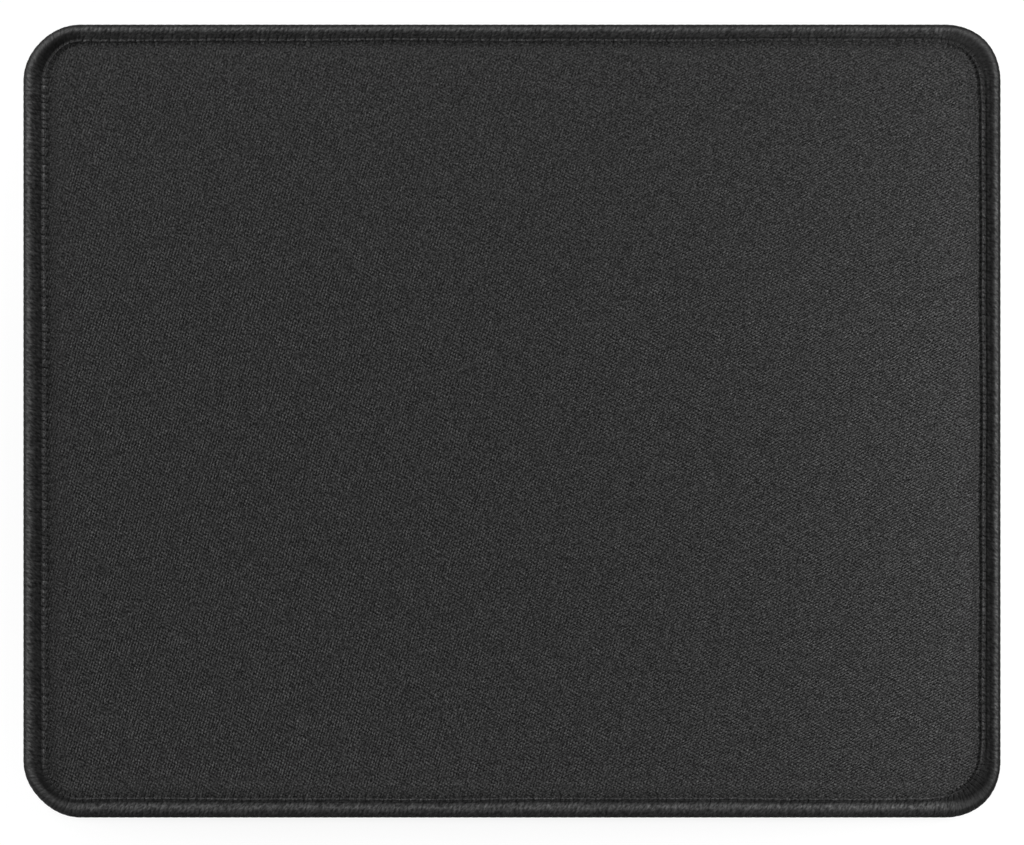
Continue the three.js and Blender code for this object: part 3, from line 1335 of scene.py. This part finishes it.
# %% Node group: painted rim shade in the corners, at the back and on the right
corner_groove_zone = (1.8, 2.8)
corner_groove_painted_shade = 0.6
front_right_painted_shade = 0.65
flipped_y = product_of(tree, place_y, -1.0)
front_right = corner_mask(tree, place_x, flipped_y)
in_groove = spread(tree, inset, *corner_groove_zone)
corner_groove = product_of(tree, any_corner_mask(tree, tone_in["Place"]), in_groove)
at_back = near(tree, walk, half_walk, reach_x, reach_x + corner_radius)
at_right = near(tree, walk, half_walk / 2, reach_y, reach_y + corner_radius)
rim_painted_light = product_of(
    tree,
    rim_painted_light,
    blend(tree, front_right, 1, front_right_painted_shade),
    blend(tree, corner_groove, 1, corner_groove_painted_shade),
    blend(tree, at_back, 1, tone_in["Back painted shade"]),
    blend(tree, at_right, 1, profile_of(tree, inset, right_light_and_shade_stops)),
)
tree.links.new(rim_painted_light, tone_out["Tone"])
print(f"{tree.name}: {len(tree.nodes)} nodes")

# %% [markdown]
# The thread is a shade lighter than the cloth. Its plies twist slowly along it, which shows as slanted
# streaks. The streaks follow the place in the straight row of stitches, kept as an attribute before the row
# was bent round the mat. Each leg's own tone comes from the UV map that the swept path leaves.

# %% Thread finishes
thread_colour = (0.056, 0.056, 0.056)
streak_lean = math.radians(-35)
streak_size = (0.001, 0.0021, 0.0015)
streak_scale = 2.2


def thread_finish(name, pieces, fuzz_share, valley_shade_depth, back_painted_shade):
    """Dyed, bulked thread, with its own streaks and valleys, and painted light and shade across the rim,
    darker along the back by a factor.
    """
    material, tree, shader = new_material(
        name,
        Roughness=0.85,
        Specular_IOR_Level=0.06,
        Sheen_Weight=0.02,
        Sheen_Roughness=0.4,
    )
    place = add_node(tree, "TexCoord").outputs["Object"]
    seam = add_node(tree, "Attribute", attribute_name="seam_place").outputs["Vector"]
    along = parts_of(tree, add_node(tree, "UVMap", uv_map="UVMap").outputs[0])[0]
    streaks = {"Vector": seam, "Rotation": (0.0, 0.0, streak_lean), "Scale": streak_size}
    leaning = add_node(tree, "Mapping", streaks, vector_type="TEXTURE").outputs[0]
    fuzz = add_node(tree, "Group", {"Place": leaning, "Scale": streak_scale}, node_tree=fuzz_group)
    fuzz = product_of(tree, fuzz.outputs["Relief"], fuzz_share)
    inputs = {
        "Place": place,
        "Seam": seam,
        "Along": along,
        "Fuzz": fuzz,
        "Valley shade depth": valley_shade_depth,
    }
    relief = add_node(tree, "Group", inputs, node_tree=relief_group).outputs["Relief"]
    inputs = {"Place": place, "Seam": seam, "Back painted shade": back_painted_shade}
    # Painted light and shade across the rim.
    rim = add_node(tree, "Group", inputs, node_tree=painted_light_group).outputs["Tone"]
    tone = product_of(tree, shade_of(tree, relief), rim)
    finish_material(pieces, material, tree, shader, thread_colour, tone, relief, 0.00015, 0.6)


thread_finish(
    "looper_thread_finish",
    [upper_looper, lower_looper],
    fuzz_share=0.4,
    valley_shade_depth=0.08,
    back_painted_shade=1.0,
)
thread_finish(
    "needle_thread_finish",
    [needle_line],
    fuzz_share=0.5,
    valley_shade_depth=0.2,
    back_painted_shade=0.7,
)

# %% [markdown]
# The foam is black natural rubber with a skin of tiny closed cells, and dust lies on it in patches that are
# lighter and duller than the rubber.

# %% Foam finish
foam_colour = (0.012, 0.012, 0.012)
cells_per_metre = 4200.0
cell_edge = 0.7
cell_tones = (0.8, 1.15)
dust_scale = 90.0
dust_tones = (0.75, 1.5)
dust_roughness = (0.75, 0.95)
foam_finish, tree, shader = new_material("foam_rubber_finish", Roughness=0.85, Specular_IOR_Level=0.3)
place = add_node(tree, "TexCoord").outputs["Object"]
cells = add_node(tree, "TexVoronoi", {"Vector": place, "Scale": cells_per_metre}).outputs["Distance"]
dust = cloud(tree, place, dust_scale, detail=4.0)
tone = product_of(
    tree,
    spread(tree, dust, *usual_noise, *dust_tones),
    spread(tree, cells, 0, cell_edge, *cell_tones),
)
tree.links.new(spread(tree, dust, *usual_noise, *dust_roughness), shader.inputs["Roughness"])
finish_material([foam_base], foam_finish, tree, shader, foam_colour, tone, cells, 0.00004, 0.5)

# %% [markdown]
# The glue film is cloudy and grey, and it only shows if the layers are taken apart. It is smooth, so it gets
# a haze in its colour and roughness and no relief.

# %% Film finish
film_colour = (0.26, 0.26, 0.25)
haze_scale = 350.0
haze_tones = (0.8, 1.2)
haze_roughness = (0.35, 0.65)
film_finish, tree, shader = new_material("glue_film_finish", Roughness=0.5)
place = add_node(tree, "TexCoord").outputs["Object"]
haze = cloud(tree, place, haze_scale, detail=5.0)
haze_tone = spread(tree, haze, *usual_noise, *haze_tones)
tree.links.new(tint(tree, film_colour, haze_tone), shader.inputs["Base Color"])
tree.links.new(spread(tree, haze, *usual_noise, *haze_roughness), shader.inputs["Roughness"])
glue_film.data.materials.append(film_finish)
print(f"{film_finish.name}: {len(tree.nodes)} nodes")

# %% [markdown]
# The camera looks straight down through a long lens, which keeps the mat's outline square. It stands a hair
# off the middle, because the mat does so in the picture.

# %% Camera
camera_place = (0.00006, -0.00038, 0.7581)
camera_data = bpy.data.cameras.new("camera")
camera_data.lens = 100
camera_data.sensor_width = 36
camera = bpy.data.objects.new("camera", camera_data)
scene.collection.objects.link(camera)
camera.location = camera_place
scene.camera = camera
print(f"the camera stands {camera_place[2]:.3f} m up, with a lens of {camera_data.lens:.0f} mm")

# %% [markdown]
# The floor is plain white. To the camera it shows mostly its own white and partly the light that falls on it,
# so it stays white and still keeps the mat's shadow. Further from the mat its own white takes over, so that
# no view shows where the lamps' light ends.

# %% Floor
floor_size = 6.0
floor_colour = (0.93, 0.93, 0.93, 1)
own_white = 1.06
own_white_share = 0.8


def seen_mask(tree):
    """1 for what the camera sees, directly or in a shine or through glass, and 0 for light on its way."""
    rays = add_node(tree, "LightPath").outputs
    seen = sum_of(tree, "MAXIMUM", rays["Is Camera Ray"], rays["Is Glossy Ray"])
    return sum_of(tree, "MAXIMUM", seen, rays["Is Transmission Ray"])


bpy.ops.object.select_all(action="DESELECT")
bpy.ops.mesh.primitive_plane_add(size=floor_size)
floor = name_piece("floor")
floor_finish, tree, shader = new_material("floor_finish", Roughness=0.9, Specular_IOR_Level=0.0)
shader.inputs["Base Color"].default_value = floor_colour
from_mat = vector_of(tree, "LENGTH", add_node(tree, "TexCoord").outputs["Object"])
white_share = spread(tree, from_mat, half_length, 2 * half_length, own_white_share, 1.0)
white_light = add_node(tree, "Emission", {"Color": (1, 1, 1, 1), "Strength": own_white})
both = add_node(
    tree,
    "MixShader",
    {"Fac": product_of(tree, seen_mask(tree), white_share), 1: shader.outputs[0], 2: white_light.outputs[0]},
)
tree.links.new(both.outputs[0], tree.nodes["Material Output"].inputs["Surface"])
floor.data.materials.append(floor_finish)
measure(floor)

# %% [markdown]
# A low lamp stands far out on the left and a weaker one beyond the back left corner. Low light rakes the
# rim: it catches the outside of the bead and leaves the groove in shade. A third lamp stands higher, behind
# the mat. Close to the right, the back and the front lie long, weak strips, which light the sides of the bead
# that the lamps leave dark. Each lamp is written as its place, its size in metres and its power in watts.

# %% Lamps
lamps = {
    "left_lamp": ((-0.975, 0.17, 0.14), (0.35, 0.35), 13.0),
    "corner_lamp": ((-0.69, 0.69, 0.22), (0.35, 0.35), 5.5),
    "back_lamp": ((0.0, 0.55, 0.84), (0.35, 0.35), 1.8),
    "right_strip": ((0.275, 0.0, 0.065), (0.26, 0.03), 0.7),
    "back_strip": ((0.0, 0.26, 0.035), (0.32, 0.03), 0.34),
    "front_strip": ((0.0, -0.2, 0.07), (0.32, 0.03), 0.09),
}
for name, (spot, (long_side, short_side), power) in lamps.items():
    light = bpy.data.lights.new(name, "AREA")
    light.shape = "RECTANGLE"
    light.size = long_side
    light.size_y = short_side
    light.energy = power
    lamp = bpy.data.objects.new(name, light)
    scene.collection.objects.link(lamp)
    lamp.location = spot
    lamp.rotation_euler = (-Vector(spot)).to_track_quat("-Z", "Y").to_euler()
print(f"{len(lamps)} lamps, {sum(power for _, _, power in lamps.values()):.2f} W in all")

# %% [markdown]
# The sky is white to the camera and dim for everything else. It fills the shadows a little, so that a colour
# on the flat cloth renders about as it is written.

# %% Sky
sky_light = 0.1
sky = bpy.data.worlds.new("sky")
scene.world = sky
sky.use_nodes = True
tree = sky.node_tree
background = tree.nodes["Background"]
background.inputs["Color"].default_value = (1, 1, 1, 1)
tree.links.new(blend(tree, seen_mask(tree), sky_light, 1.0), background.inputs["Strength"])
scene.view_settings.view_transform = "Standard"
print(f"sky: {sky_light} of full light, {len(tree.nodes)} nodes")

# %% [markdown]
# Last, each piece is put on the root body, and the solid that it stands for is hidden. The cloth and the film
# are sheets, cut to the size inside the threads, and the foam is a padded piece.

# %% Hand the pieces to the frame
roles = [
    (knit_cloth, "top_cloth", "cloth"),
    (glue_film, "bonding_film", "film"),
    (foam_base, "rubber_base", "rubber"),
    (upper_looper, "upper_looper_thread", "thread"),
    (lower_looper, "lower_looper_thread", "thread"),
    (needle_line, "needle_thread", "thread"),
]
for piece, node, slot in roles:
    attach(piece, "root")
    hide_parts(node)

print(len(roles), "pieces stand for", len(roles), "solids")
